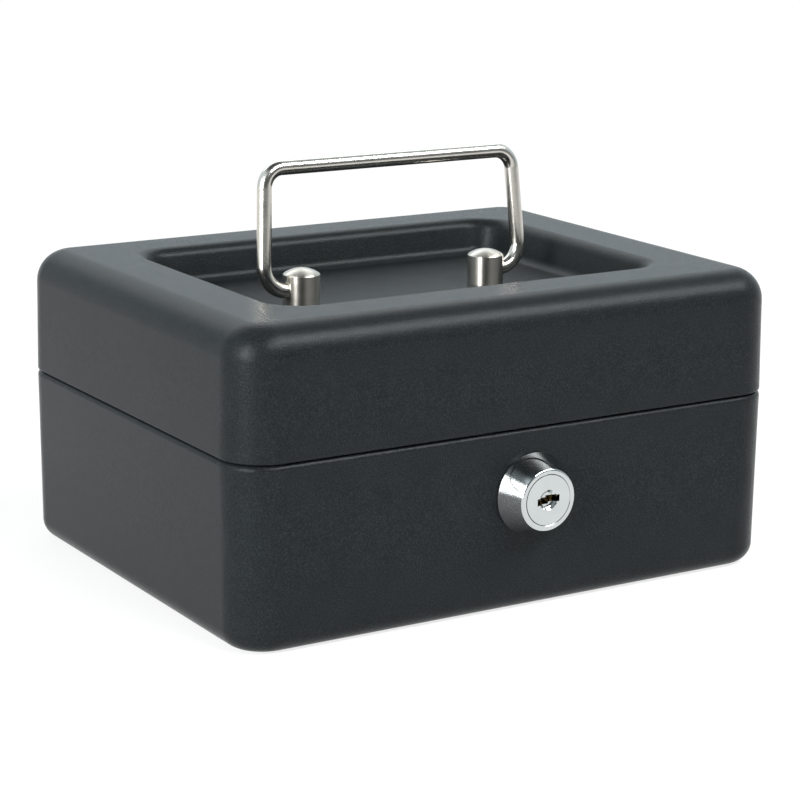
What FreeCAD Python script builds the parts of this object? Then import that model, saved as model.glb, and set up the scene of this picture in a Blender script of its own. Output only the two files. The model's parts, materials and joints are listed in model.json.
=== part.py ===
import FreeCAD, Part
import math
import os

# A small deep-drawn steel cash box: a base and a lid of thin sheet, hinged at the back, with a wire
# handle that folds into a recess of the lid, a keyed cam lock in front and a lift-out coin tray.
# Millimetres. +X runs along the front to the right, +Y to the back, +Z up, and the origin is the
# middle of the underside.

# Box, in plan and in height
BOX_WIDTH = 152.0
BOX_DEPTH = 120.0
CORNER_RADIUS = 11.0
BASE_HEIGHT = 44.85
LID_HEIGHT = 30.85
SEAM_GAP = 0.3
SHEET = 1.0
FLAT_MARGIN = 0.5

# Base tub: draft of the walls, rounding of the floor, and the ledge that the rounded rim is turned in to
BASE_TAPER = 0.42
BASE_EDGE_RADIUS = 5.0
BASE_LEDGE = 8.5
BASE_RIM_RADIUS = 1.3

# Lid: draft, rounding of the top, and the lip of its tightly folded rim
LID_TAPER = 0.45
LID_EDGE_RADIUS = 8.0
LID_LIP = 3.2
LID_RIM_RADIUS = 0.5

# Recess pressed into the lid, measured at its upper edge
RECESS_WIDTH = 108.0
RECESS_DEPTH = 78.0
RECESS_DROP = 9.0
RECESS_SLOPE = 3.0
RECESS_CORNER = 9.0
RECESS_EDGE_RADIUS = 3.5
RECESS_FOOT_RADIUS = 3.0

# Handle: a bent wire on two posts that are riveted through the recess floor
WIRE_DIAMETER = 3.7
HANDLE_REACH = 30.3
HANDLE_FOOT_SPAN = 75.6
HANDLE_TOP_SPAN = 72.0
HANDLE_FOOT_BEND = 6.0
HANDLE_TOP_BEND = 5.0
HANDLE_LEAN = 5.2
WIRE_IN_POST = 3.6
POST_SPACING = 54.4
POST_DIAMETER = 9.25
POST_HEIGHT = 7.7
POST_DOME = 1.3
POST_CHAMFER = 0.3
POST_PIVOT = 3.6
POST_HOLE_CLEARANCE = 0.06
SPIGOT_DIAMETER = 5.0
SPIGOT_CLEARANCE = 0.1
RIVET_HEAD_DIAMETER = 7.4
RIVET_HEAD_HEIGHT = 1.2
POST_WASHER_DIAMETER = 11.0
POST_WASHER_THICKNESS = 1.0

# Lock in the front wall, from its cone-shaped nose back to the screw that holds the cam
LOCK_X = 1.8
LOCK_Z = 29.0
NOSE_BASE_DIAMETER = 20.2
NOSE_FACE_DIAMETER = 14.9
NOSE_LENGTH = 7.0
NOSE_RIM = 0.6
NOSE_EDGE = 0.3
BARREL_DIAMETER = 16.0
BARREL_FLATS = 13.8
BARREL_LENGTH = 14.0
BARREL_HOLE_CLEARANCE = 0.15
LOCK_WASHER_DIAMETER = 21.0
LOCK_WASHER_THICKNESS = 0.8
LOCK_NUT_FLATS = 20.0
LOCK_NUT_THICKNESS = 3.5
THREAD_CLEARANCE = 0.05
SEAT_CLEARANCE = 0.02
PLUG_HEAD_DIAMETER = 12.4
PLUG_HEAD_LENGTH = 3.0
PLUG_DIAMETER = 11.0
PLUG_CLEARANCE = 0.06
PLUG_EDGE = 0.28
KEYWAY_WIDTH = 6.2
KEYWAY_HEIGHT = 1.65
KEYWAY_STEP = 0.45
KEYWAY_OVERLAP = 0.8
KEYWAY_LENGTH = 16.0
DISH_DIAMETER = 5.0
DISH_DEPTH = 0.8
WAFER_COUNT = 4
WAFER_PITCH = 2.2
WAFER_THICKNESS = 0.9
WAFER_HEIGHT = 4.6
WAFER_FIRST = 3.7
WAFER_CLEARANCE = 0.05
WAFER_WINDOW_WIDTH = 4.4
WAFER_SHIFT = 0.55
TAIL_SQUARE = 5.0
TAIL_CLEARANCE = 0.04
CAM_THICKNESS = 1.8
CAM_GAP = 0.1
CAM_HUB_DIAMETER = 13.0
CAM_HOOK_INNER = 11.0
CAM_HOOK_OUTER = 14.5
CAM_HOOK_START = 150.0
CAM_HOOK_END = 215.0
CAM_ARM_ANGLE = 26.0
CAM_WASHER_DIAMETER = 9.0
CAM_WASHER_THICKNESS = 0.6
CAM_SCREW_DIAMETER = 3.0
CAM_SCREW_LENGTH = 6.0
CAM_SCREW_HEAD_DIAMETER = 5.6
CAM_SCREW_HEAD_HEIGHT = 1.6
CAM_SCREW_SLOT = 0.8

# Catch on the lid: a bent plate whose foot the cam hooks over
CATCH_SHEET = 1.5
CATCH_FLANGE_WIDTH = 14.0
CATCH_ARM_HEIGHT = 8.5
CATCH_ARM_RISE = 3.3
CATCH_LEG_WIDTH = 4.0
CATCH_FOOT_HEIGHT = 2.0
CATCH_PLAY = 0.6
CATCH_SCREW_GAP = 0.9

# Two knuckle hinges, with leaves welded to the inside of the back walls
HINGE_SPACING = 84.0
HINGE_LENGTH = 26.0
HINGE_MIDDLE = 9.6
KNUCKLE_GAP = 0.2
KNUCKLE_DIAMETER = 4.4
HINGE_PIN_DIAMETER = 2.2
HINGE_PIN_CLEARANCE = 0.05
LEAF_SHEET = 1.2
LEAF_LENGTH = 16.0
NOTCH_CLEARANCE = 0.4

# Coin tray, a thin moulding that hangs on the ledge
TRAY_WALL = 1.6
TRAY_CLEARANCE = 0.7
TRAY_FLANGE = 2.3
TRAY_FLANGE_CORNER = 8.0
TRAY_DEPTH = 24.0
TRAY_CORNER = 14.0
TRAY_SCOOP = 9.0
TRAY_SPLIT_Y = 4.0
TRAY_PARTITION_X = 21.5
TRAY_NOTCH_CLEARANCE = 3.5

# Places worked out from the sizes above
HALF_WIDTH = BOX_WIDTH / 2
HALF_DEPTH = BOX_DEPTH / 2
SEAM_Z = BASE_HEIGHT + SEAM_GAP / 2
LID_RIM_Z = BASE_HEIGHT + SEAM_GAP
LID_TOP_Z = LID_RIM_Z + LID_HEIGHT
RECESS_Z = LID_TOP_Z - RECESS_DROP
PIVOT_Z = RECESS_Z + POST_PIVOT


def vec(x, y, z):
    return FreeCAD.Vector(x, y, z)


X_AXIS = vec(1, 0, 0)
Y_AXIS = vec(0, 1, 0)
Z_AXIS = vec(0, 0, 1)
ORIGIN = vec(0, 0, 0)


# Helpers: solids from a few numbers

def block(x_range, y_range, z_range):
    low = vec(x_range[0], y_range[0], z_range[0])
    return Part.makeBox(x_range[1] - x_range[0], y_range[1] - y_range[0], z_range[1] - z_range[0], low)


def prism(corners, along):
    """A polygon, given as vectors, pushed along a vector."""
    return Part.Face(Part.makePolygon(corners + [corners[0]])).extrude(along)


def fuse(pieces):
    return pieces[0].multiFuse(pieces[1:]).removeSplitter()


def rounded_plate(half_x, half_y, radius, bottom, thickness):
    """A flat plate with a rounded-rectangle outline."""
    across = block((radius - half_x, half_x - radius), (-half_y, half_y), (bottom, bottom + thickness))
    along = block((-half_x, half_x), (radius - half_y, half_y - radius), (bottom, bottom + thickness))
    corners = []
    for side_x in (-1, 1):
        for side_y in (-1, 1):
            centre = vec(side_x * (half_x - radius), side_y * (half_y - radius), bottom)
            corners.append(Part.makeCylinder(radius, thickness, centre))
    return fuse([across, along] + corners)


def rounded_path(points, radii):
    """Edges of an open outline in the XZ plane, with a radius at each inner point."""
    edges = []
    start = points[0]
    for before, corner, after, radius in zip(points, points[1:], points[2:], radii):
        way_in = (corner - before).normalize()
        way_out = (after - corner).normalize()
        turn = way_in.getAngle(way_out)
        cut = radius * math.tan(turn / 2)
        arc_start = corner - way_in * cut
        arc_end = corner + way_out * cut
        edges.append(Part.makeLine(start, arc_start))
        if radius > 0:
            inward = (way_out - way_in).normalize()
            middle = corner + inward * (radius / math.cos(turn / 2) - radius)
            edges.append(Part.Arc(arc_start, middle, arc_end).toShape())
        start = arc_end
    edges.append(Part.makeLine(start, points[-1]))
    return edges


def offset_corners(points, distance):
    """The corners of an open XZ outline moved to the left of its travel, and each corner's turn."""
    ways = [(after - before).normalize() for before, after in zip(points, points[1:])]
    lefts = [vec(-way.z, 0, way.x) for way in ways]
    moved = [points[0] + lefts[0] * distance]
    turns = []
    for corner, left_in, left_out in zip(points[1:], lefts, lefts[1:]):
        moved.append(corner + (left_in + left_out) * (distance / (1 + left_in.dot(left_out))))
        turns.append(math.copysign(1, left_in.cross(left_out).dot(vec(0, -1, 0))))
    moved.append(points[-1] + lefts[-1] * distance)
    return moved, turns


def bent_sheet(outline, radii, thickness):
    """Section of a bent sheet: an XZ outline with rounded corners, thickened to its left."""
    points = [vec(u, 0, v) for u, v in outline]
    inner, turns = offset_corners(points, thickness)
    inner_radii = [max(radius - turn * thickness, 0) for radius, turn in zip(radii, turns)]
    edges = rounded_path(points, radii)
    edges.append(Part.makeLine(points[-1], inner[-1]))
    edges += rounded_path(inner[::-1], inner_radii[::-1])
    edges.append(Part.makeLine(inner[0], points[0]))
    return Part.Face(Part.Wire(edges))


def swept_round(section, half_x, half_y, radius):
    """A section (X outwards from the path, Z up) carried round a rounded rectangle."""
    pieces = []
    for quarter in range(4):
        across, along = (half_x, half_y - radius) if quarter % 2 == 0 else (half_y, half_x - radius)
        side = section.translated(vec(across, -along, 0)).extrude(Y_AXIS * (2 * along))
        corner = section.translated(vec(across, along, 0))
        corner = corner.revolve(vec(across - radius, along, 0), Z_AXIS, 90)
        for piece in (side, corner):
            pieces.append(piece.rotated(ORIGIN, Z_AXIS, 90 * quarter))
    return pieces


def turned(outline, base):
    """A closed outline of (radius, height) turned about a vertical axis through base."""
    corners = [vec(radius, 0, height) for radius, height in outline]
    face = Part.Face(Part.makePolygon(corners + [corners[0]]))
    return face.revolve(ORIGIN, Z_AXIS, 360).translated(base)


def lock_turned(outline):
    """A closed outline of (radius, Y) turned about the lock's axis."""
    standing = turned(outline, ORIGIN)
    return standing.rotated(ORIGIN, X_AXIS, -90).translated(vec(LOCK_X, 0, LOCK_Z))


def lock_disc(diameter, start, end):
    return Part.makeCylinder(diameter / 2, end - start, vec(LOCK_X, start, LOCK_Z), Y_AXIS)


def lock_block(half_width, low, high, start, end):
    """A block round the lock's axis: half its width, its low and high side, and its Y range."""
    return block((LOCK_X - half_width, LOCK_X + half_width), (start, end), (LOCK_Z + low, LOCK_Z + high))


def lock_sector(inner, outer, start_angle, end_angle, start, end):
    """A ring sector about the lock's axis, with angles from +X towards +Z."""
    def at(radius, angle):
        turn = math.radians(angle)
        return vec(LOCK_X + radius * math.cos(turn), start, LOCK_Z + radius * math.sin(turn))
    middle = (start_angle + end_angle) / 2
    edges = [
        Part.Arc(at(outer, start_angle), at(outer, middle), at(outer, end_angle)).toShape(),
        Part.makeLine(at(outer, end_angle), at(inner, end_angle)),
        Part.Arc(at(inner, end_angle), at(inner, middle), at(inner, start_angle)).toShape(),
        Part.makeLine(at(inner, start_angle), at(outer, start_angle)),
    ]
    return Part.Face(Part.Wire(edges)).extrude(Y_AXIS * (end - start))


# Walls: how far each drafted face stands in from the full width at a height

def base_inset(z):
    return BASE_TAPER * (1 - z / BASE_HEIGHT)


def lid_inset(z):
    return LID_TAPER * (z - LID_RIM_Z) / LID_HEIGHT


# Stations of the lock along Y, from the front wall to the screw
LOCK_SEAT = base_inset(LOCK_Z + NOSE_BASE_DIAMETER / 2) - HALF_DEPTH - SEAT_CLEARANCE
LOCK_FACE = LOCK_SEAT - NOSE_LENGTH
BARREL_END = LOCK_SEAT + BARREL_LENGTH
WASHER_FRONT = base_inset(LOCK_Z - LOCK_WASHER_DIAMETER / 2) - HALF_DEPTH + SHEET + SEAT_CLEARANCE
NUT_FRONT = WASHER_FRONT + LOCK_WASHER_THICKNESS
CAM_FRONT = BARREL_END + CAM_GAP
CAM_BACK = CAM_FRONT + CAM_THICKNESS
CAM_WASHER_BACK = CAM_BACK + CAM_WASHER_THICKNESS
CAM_SCREW_BACK = CAM_WASHER_BACK + CAM_SCREW_HEAD_HEIGHT

# The catch hangs behind the screw head, with its foot in the path of the cam's hook
CATCH_LEG_FRONT = CAM_SCREW_BACK + CATCH_SCREW_GAP
CATCH_LEG_BACK = CATCH_LEG_FRONT + CATCH_LEG_WIDTH
CATCH_FOOT_TOP = LOCK_Z + CAM_HOOK_INNER - CATCH_PLAY

# The hinge axis lies in the seam, with the leaves flush on the inner faces of the back walls
KNUCKLE_RADIUS = KNUCKLE_DIAMETER / 2
LEAF_FACE_Y = HALF_DEPTH - SHEET
HINGE_Y = LEAF_FACE_Y - LEAF_SHEET + KNUCKLE_RADIUS
HINGE_Z = SEAM_Z
NOTCH_REACH = KNUCKLE_RADIUS + NOTCH_CLEARANCE


# Shells

def hinge_notches():
    """Openings in the two back rims where the knuckles lie."""
    half = HINGE_LENGTH / 2 + NOTCH_CLEARANCE
    depth = (LEAF_FACE_Y - LEAF_SHEET - NOTCH_CLEARANCE, HALF_DEPTH + KNUCKLE_RADIUS)
    height = (HINGE_Z - NOTCH_REACH, HINGE_Z + NOTCH_REACH)
    return [block((x - half, x + half), depth, height) for x in (-HINGE_SPACING / 2, HINGE_SPACING / 2)]


def barrel_section(clearance, start, end):
    """The lock's threaded barrel, round with a flat on each side, or the hole that it fits."""
    body = lock_disc(BARREL_DIAMETER + 2 * clearance, start, end)
    half = BARREL_FLATS / 2 + clearance
    return body.common(lock_block(half, -BARREL_DIAMETER, BARREL_DIAMETER, start, end))


def base_shell():
    floor_join = -(BASE_TAPER + BASE_EDGE_RADIUS + FLAT_MARGIN)
    outline = [(floor_join, 0), (-BASE_TAPER, 0), (0, BASE_HEIGHT), (-BASE_LEDGE, BASE_HEIGHT)]
    section = bent_sheet(outline, [BASE_EDGE_RADIUS, BASE_RIM_RADIUS], SHEET)
    pieces = swept_round(section, HALF_WIDTH, HALF_DEPTH, CORNER_RADIUS)
    pieces.append(rounded_plate(HALF_WIDTH + floor_join, HALF_DEPTH + floor_join,
                                CORNER_RADIUS + floor_join, 0, SHEET))
    shell = fuse(pieces)
    hole = barrel_section(BARREL_HOLE_CLEARANCE, -HALF_DEPTH - SHEET, -HALF_DEPTH + 2 * SHEET)
    return shell.cut(hinge_notches() + [hole])


def lid_shell():
    top_join = -(LID_TAPER + LID_EDGE_RADIUS + FLAT_MARGIN)
    outline = [(-LID_LIP, LID_RIM_Z), (0, LID_RIM_Z), (-LID_TAPER, LID_TOP_Z), (top_join, LID_TOP_Z)]
    section = bent_sheet(outline, [LID_RIM_RADIUS, LID_EDGE_RADIUS], SHEET)
    pieces = swept_round(section, HALF_WIDTH, HALF_DEPTH, CORNER_RADIUS)

    half_x = RECESS_WIDTH / 2
    half_y = RECESS_DEPTH / 2
    edge_join = RECESS_EDGE_RADIUS + FLAT_MARGIN
    foot_join = -(RECESS_SLOPE + RECESS_FOOT_RADIUS + FLAT_MARGIN)
    outline = [(edge_join, LID_TOP_Z), (0, LID_TOP_Z), (-RECESS_SLOPE, RECESS_Z), (foot_join, RECESS_Z)]
    section = bent_sheet(outline, [RECESS_EDGE_RADIUS, RECESS_FOOT_RADIUS], SHEET)
    pieces += swept_round(section, half_x, half_y, RECESS_CORNER)

    top = LID_TOP_Z - SHEET
    rim = rounded_plate(HALF_WIDTH + top_join, HALF_DEPTH + top_join, CORNER_RADIUS + top_join, top, SHEET)
    opening = rounded_plate(half_x + edge_join, half_y + edge_join, RECESS_CORNER + edge_join, top, SHEET)
    pieces.append(rim.cut(opening))
    pieces.append(rounded_plate(half_x + foot_join, half_y + foot_join, RECESS_CORNER + foot_join,
                                RECESS_Z - SHEET, SHEET))
    shell = fuse(pieces)

    radius = SPIGOT_DIAMETER / 2 + SPIGOT_CLEARANCE
    holes = [Part.makeCylinder(radius, 2 * SHEET, vec(x, 0, RECESS_Z - 1.5 * SHEET))
             for x in (-POST_SPACING / 2, POST_SPACING / 2)]
    return shell.cut(hinge_notches() + holes)


# Handle

def handle_post(side):
    """A turned post with a domed head, a spigot through the recess floor and a riveted end."""
    radius = POST_DIAMETER / 2
    spigot = SPIGOT_DIAMETER / 2
    rivet = RIVET_HEAD_DIAMETER / 2
    under = -(SHEET + POST_WASHER_THICKNESS)
    shoulder = POST_HEIGHT - POST_CHAMFER
    outline = [
        (0, under - RIVET_HEAD_HEIGHT), (spigot, under - RIVET_HEAD_HEIGHT), (rivet, under),
        (spigot, under), (spigot, 0), (radius, 0), (radius, shoulder), (radius - POST_CHAMFER, POST_HEIGHT),
        (0, POST_HEIGHT),
    ]
    x = side * POST_SPACING / 2
    post = turned(outline, vec(x, 0, RECESS_Z))
    flat = radius - POST_CHAMFER
    dome_radius = (flat ** 2 + POST_DOME ** 2) / (2 * POST_DOME)
    top = RECESS_Z + POST_HEIGHT
    ball = Part.makeSphere(dome_radius, vec(x, 0, top + POST_DOME - dome_radius))
    dome = ball.common(Part.makeCylinder(flat, POST_DOME, vec(x, 0, top)))
    hole_radius = WIRE_DIAMETER / 2 + POST_HOLE_CLEARANCE
    depth = WIRE_IN_POST + POST_HOLE_CLEARANCE
    hole_start = vec(x + side * (radius - depth), 0, PIVOT_Z)
    hole = Part.makeCylinder(hole_radius, POST_DIAMETER, hole_start, X_AXIS * side)
    return fuse([post, dome]).cut(hole)


def post_washer(side):
    centre = vec(side * POST_SPACING / 2, 0, RECESS_Z - SHEET - POST_WASHER_THICKNESS)
    disc = Part.makeCylinder(POST_WASHER_DIAMETER / 2, POST_WASHER_THICKNESS, centre)
    bore = Part.makeCylinder(SPIGOT_DIAMETER / 2 + SPIGOT_CLEARANCE, POST_WASHER_THICKNESS, centre)
    return disc.cut(bore)


def handle_bail():
    """A wire bent to a low arch, with its ends turned in to the posts, leaning a little to the back."""
    tip = POST_SPACING / 2 + POST_DIAMETER / 2 - WIRE_IN_POST
    foot = HANDLE_FOOT_SPAN / 2
    top = HANDLE_TOP_SPAN / 2
    points = [
        vec(-tip, 0, 0), vec(-foot, 0, 0), vec(-top, 0, HANDLE_REACH),
        vec(top, 0, HANDLE_REACH), vec(foot, 0, 0), vec(tip, 0, 0),
    ]
    bends = [HANDLE_FOOT_BEND, HANDLE_TOP_BEND, HANDLE_TOP_BEND, HANDLE_FOOT_BEND]
    path = Part.Wire(rounded_path(points, bends))
    section = Part.Wire(Part.makeCircle(WIRE_DIAMETER / 2, points[0], X_AXIS))
    wire = path.makePipeShell([section], True, False)
    return wire.rotated(ORIGIN, X_AXIS, -HANDLE_LEAN).translated(vec(0, 0, PIVOT_Z))


# Lock

def lock_housing():
    """The chromed nose and the threaded barrel behind it, bored in two steps for the plug."""
    face = NOSE_FACE_DIAMETER / 2
    base = NOSE_BASE_DIAMETER / 2
    nose = lock_turned([
        (0, LOCK_SEAT), (base, LOCK_SEAT), (base, LOCK_SEAT - NOSE_RIM),
        (face, LOCK_FACE + NOSE_EDGE), (face - NOSE_EDGE, LOCK_FACE), (0, LOCK_FACE),
    ])
    barrel = barrel_section(0, LOCK_SEAT, BARREL_END)
    head = PLUG_HEAD_DIAMETER / 2 + PLUG_CLEARANCE
    body = PLUG_DIAMETER / 2 + PLUG_CLEARANCE
    step = LOCK_FACE + PLUG_HEAD_LENGTH + PLUG_CLEARANCE
    bore = lock_turned([
        (0, LOCK_FACE), (head + PLUG_EDGE, LOCK_FACE), (head, LOCK_FACE + PLUG_EDGE), (head, step),
        (body, step), (body, BARREL_END), (0, BARREL_END),
    ])
    return fuse([nose, barrel]).cut(bore)


def lock_ring(diameter, start, thickness):
    bore = lock_disc(BARREL_DIAMETER + 2 * THREAD_CLEARANCE, start, start + thickness)
    return lock_disc(diameter, start, start + thickness).cut(bore)


def lock_nut():
    corner = LOCK_NUT_FLATS / math.sqrt(3)
    corners = []
    for index in range(6):
        angle = math.radians(60 * index)
        corners.append(vec(LOCK_X + corner * math.cos(angle), NUT_FRONT, LOCK_Z + corner * math.sin(angle)))
    blank = prism(corners, Y_AXIS * LOCK_NUT_THICKNESS)
    bore = lock_disc(BARREL_DIAMETER + 2 * THREAD_CLEARANCE, NUT_FRONT, NUT_FRONT + LOCK_NUT_THICKNESS)
    return blank.cut(bore)


def keyway(start, end):
    """The key slot: two overlapping halves, one set lower than the other."""
    half = KEYWAY_WIDTH / 2
    lap = KEYWAY_OVERLAP / 2
    low = KEYWAY_HEIGHT / 2
    shift = KEYWAY_STEP / 2
    left = block((LOCK_X - half, LOCK_X + lap), (start, end), (LOCK_Z - low - shift, LOCK_Z + low - shift))
    right = block((LOCK_X - lap, LOCK_X + half), (start, end), (LOCK_Z - low + shift, LOCK_Z + low + shift))
    return fuse([left, right])


def wafer_front(index):
    return LOCK_FACE + WAFER_FIRST + index * WAFER_PITCH


def lock_plug():
    """The turning core: a stepped cylinder with a dished key slot, wafer slots and a square tail."""
    head = PLUG_HEAD_DIAMETER / 2
    body = PLUG_DIAMETER / 2
    step = LOCK_FACE + PLUG_HEAD_LENGTH
    core = lock_turned([
        (0, LOCK_FACE), (head - PLUG_EDGE, LOCK_FACE), (head, LOCK_FACE + PLUG_EDGE), (head, step),
        (body, step), (body, BARREL_END), (0, BARREL_END),
    ])
    tail = lock_block(TAIL_SQUARE / 2, -TAIL_SQUARE / 2, TAIL_SQUARE / 2, BARREL_END, CAM_BACK)
    dish = lock_turned([
        (0, LOCK_FACE), (DISH_DIAMETER / 2, LOCK_FACE),
        (DISH_DIAMETER / 2 - DISH_DEPTH, LOCK_FACE + DISH_DEPTH), (0, LOCK_FACE + DISH_DEPTH),
    ])
    cuts = [dish, keyway(LOCK_FACE, LOCK_FACE + KEYWAY_LENGTH)]
    half = WAFER_HEIGHT / 2 + WAFER_CLEARANCE
    for index in range(WAFER_COUNT):
        front = wafer_front(index)
        cuts.append(lock_block(PLUG_DIAMETER, -half, half, front - WAFER_CLEARANCE,
                               front + WAFER_THICKNESS + WAFER_CLEARANCE))
    radius = CAM_SCREW_DIAMETER / 2 + THREAD_CLEARANCE
    cuts.append(lock_disc(2 * radius, CAM_BACK - CAM_SCREW_LENGTH, CAM_BACK))
    return fuse([core, tail]).cut(cuts)


def wafer(index):
    """A brass plate across the core, flush with it, whose window stands off to one side."""
    front = wafer_front(index)
    back = front + WAFER_THICKNESS
    half = WAFER_HEIGHT / 2
    plate = lock_disc(PLUG_DIAMETER, front, back).common(lock_block(PLUG_DIAMETER, -half, half, front, back))
    shift = WAFER_SHIFT * (1 if index % 2 == 0 else -1)
    window_half = (KEYWAY_HEIGHT + KEYWAY_STEP) / 2
    window = lock_block(WAFER_WINDOW_WIDTH / 2, -window_half, window_half, front, back)
    return plate.cut(window.translated(X_AXIS * shift))


def lock_cam():
    """A flat claw: a hub on the square tail, an arm and a hook round the lock's axis."""
    hub = lock_disc(CAM_HUB_DIAMETER, CAM_FRONT, CAM_BACK)
    hook = lock_sector(CAM_HOOK_INNER, CAM_HOOK_OUTER, CAM_HOOK_START, CAM_HOOK_END, CAM_FRONT, CAM_BACK)
    arm = lock_sector(TAIL_SQUARE, CAM_HOOK_OUTER, CAM_HOOK_END - CAM_ARM_ANGLE, CAM_HOOK_END,
                      CAM_FRONT, CAM_BACK)
    half = TAIL_SQUARE / 2 + TAIL_CLEARANCE
    return fuse([hub, hook, arm]).cut(lock_block(half, -half, half, CAM_FRONT, CAM_BACK))


def cam_washer():
    bore = lock_disc(CAM_SCREW_DIAMETER + 2 * THREAD_CLEARANCE, CAM_BACK, CAM_WASHER_BACK)
    return lock_disc(CAM_WASHER_DIAMETER, CAM_BACK, CAM_WASHER_BACK).cut(bore)


def cam_screw():
    shank = lock_disc(CAM_SCREW_DIAMETER, CAM_WASHER_BACK - CAM_SCREW_LENGTH, CAM_WASHER_BACK)
    head = lock_disc(CAM_SCREW_HEAD_DIAMETER, CAM_WASHER_BACK, CAM_SCREW_BACK)
    half = CAM_SCREW_SLOT / 2
    slot = lock_block(CAM_SCREW_HEAD_DIAMETER, -half, half,
                      CAM_SCREW_BACK - CAM_SCREW_HEAD_HEIGHT / 2, CAM_SCREW_BACK)
    return fuse([shank, head]).cut(slot)


def lid_catch():
    """A plate with a flange welded inside the lid's front wall and a leg that ends in a foot."""
    bottom = LID_RIM_Z + CATCH_ARM_RISE
    top = bottom + CATCH_ARM_HEIGHT
    front = lid_inset(top) - HALF_DEPTH + SHEET + SEAT_CLEARANCE
    foot_front = CAM_FRONT
    foot_bottom = CATCH_FOOT_TOP - CATCH_FOOT_HEIGHT
    outline = [
        (front, bottom), (CATCH_LEG_FRONT, bottom), (CATCH_LEG_FRONT, CATCH_FOOT_TOP),
        (foot_front, CATCH_FOOT_TOP), (foot_front, foot_bottom), (CATCH_LEG_BACK, foot_bottom),
        (CATCH_LEG_BACK, top), (front, top),
    ]
    side = LOCK_X - CATCH_SHEET / 2
    web = prism([vec(side, y, z) for y, z in outline], X_AXIS * CATCH_SHEET)
    flange = block((side - CATCH_FLANGE_WIDTH, side), (front, front + CATCH_SHEET), (bottom, top))
    return fuse([web, flange])


# Hinges

def knuckle(x_range, diameter):
    start = vec(x_range[0], HINGE_Y, HINGE_Z)
    return Part.makeCylinder(diameter / 2, x_range[1] - x_range[0], start, X_AXIS)


def hinge_leaf(centre_x, spans, inset, end_z):
    """A leaf with its knuckles: spans are their X ranges, and inset is the draft of its wall."""
    up = math.copysign(1, end_z - HINGE_Z)
    plate_z = HINGE_Z + up * NOTCH_REACH

    def plate(x_range, near_z, far_z):
        near_y = LEAF_FACE_Y - inset(near_z)
        far_y = LEAF_FACE_Y - inset(far_z)
        corners = [vec(x_range[0], near_y, near_z), vec(x_range[0], far_y, far_z),
                   vec(x_range[0], far_y - LEAF_SHEET, far_z), vec(x_range[0], near_y - LEAF_SHEET, near_z)]
        return prism(corners, X_AXIS * (x_range[1] - x_range[0]))

    pieces = [plate((centre_x - HINGE_LENGTH / 2, centre_x + HINGE_LENGTH / 2), plate_z, end_z)]
    for span in spans:
        pieces.append(plate(span, HINGE_Z, plate_z))
        pieces.append(knuckle(span, KNUCKLE_DIAMETER))
    return fuse(pieces)


def hinge(centre_x):
    """The base leaf with the middle knuckle, the lid leaf with the outer two, and the pin."""
    half = HINGE_LENGTH / 2
    middle = (centre_x - HINGE_MIDDLE / 2, centre_x + HINGE_MIDDLE / 2)
    outer = [(centre_x - half, middle[0] - KNUCKLE_GAP), (middle[1] + KNUCKLE_GAP, centre_x + half)]
    whole = (centre_x - half, centre_x + half)
    base_leaf = hinge_leaf(centre_x, [middle], base_inset, HINGE_Z - NOTCH_REACH - LEAF_LENGTH)
    lid_leaf = hinge_leaf(centre_x, outer, lid_inset, HINGE_Z + NOTCH_REACH + LEAF_LENGTH)
    base_leaf = base_leaf.cut(knuckle(whole, HINGE_PIN_DIAMETER))
    lid_leaf = lid_leaf.cut(knuckle(whole, HINGE_PIN_DIAMETER + 2 * HINGE_PIN_CLEARANCE))
    return base_leaf, lid_leaf, knuckle(whole, HINGE_PIN_DIAMETER)


# Coin tray

def coin_tray():
    """A tub with scooped edges that hangs by its flange, split in cells and notched for the lock."""
    half_x = HALF_WIDTH - BASE_LEDGE - TRAY_CLEARANCE
    half_y = HALF_DEPTH - BASE_LEDGE - TRAY_CLEARANCE
    bottom = BASE_HEIGHT - TRAY_DEPTH
    top = BASE_HEIGHT + TRAY_WALL
    floor_join = -(TRAY_SCOOP + FLAT_MARGIN)
    outline = [(floor_join, bottom), (0, bottom), (0, top)]

    def tub_plate(grow, base, thickness):
        return rounded_plate(half_x + grow, half_y + grow, TRAY_CORNER + grow, base, thickness)

    section = bent_sheet(outline, [TRAY_SCOOP], TRAY_WALL)
    pieces = swept_round(section, half_x, half_y, TRAY_CORNER)
    pieces.append(tub_plate(floor_join, bottom, TRAY_WALL))
    reach = TRAY_CLEARANCE + TRAY_FLANGE
    flange = rounded_plate(half_x + reach, half_y + reach, TRAY_FLANGE_CORNER, BASE_HEIGHT, TRAY_WALL)
    pieces.append(flange.cut(tub_plate(-TRAY_WALL, BASE_HEIGHT, TRAY_WALL)))

    corners = [vec(u, 0, v) for u, v in outline]
    inside_top = vec(floor_join, 0, top)
    edges = rounded_path(corners, [TRAY_SCOOP])
    edges += [Part.makeLine(corners[-1], inside_top), Part.makeLine(inside_top, corners[0])]
    full = swept_round(Part.Face(Part.Wire(edges)), half_x, half_y, TRAY_CORNER)
    full = fuse(full + [tub_plate(floor_join, bottom, top - bottom)])

    thick = TRAY_WALL / 2
    notch_half = TRAY_PARTITION_X - thick
    notch_back = CATCH_LEG_BACK + TRAY_NOTCH_CLEARANCE
    height = (bottom, top)
    slabs = [
        block((-half_x, half_x), (TRAY_SPLIT_Y - thick, TRAY_SPLIT_Y + thick), height),
        block((-notch_half, notch_half), (notch_back, notch_back + TRAY_WALL), height),
    ]
    for x in (-TRAY_PARTITION_X, TRAY_PARTITION_X):
        slabs.append(block((x - thick, x + thick), (-half_y, half_y), height))
    pieces += [full.common(slab) for slab in slabs]
    notch = block((-notch_half, notch_half), (-HALF_DEPTH, notch_back), height)
    return fuse(pieces).cut(notch)


# Every piece under its own name

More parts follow.
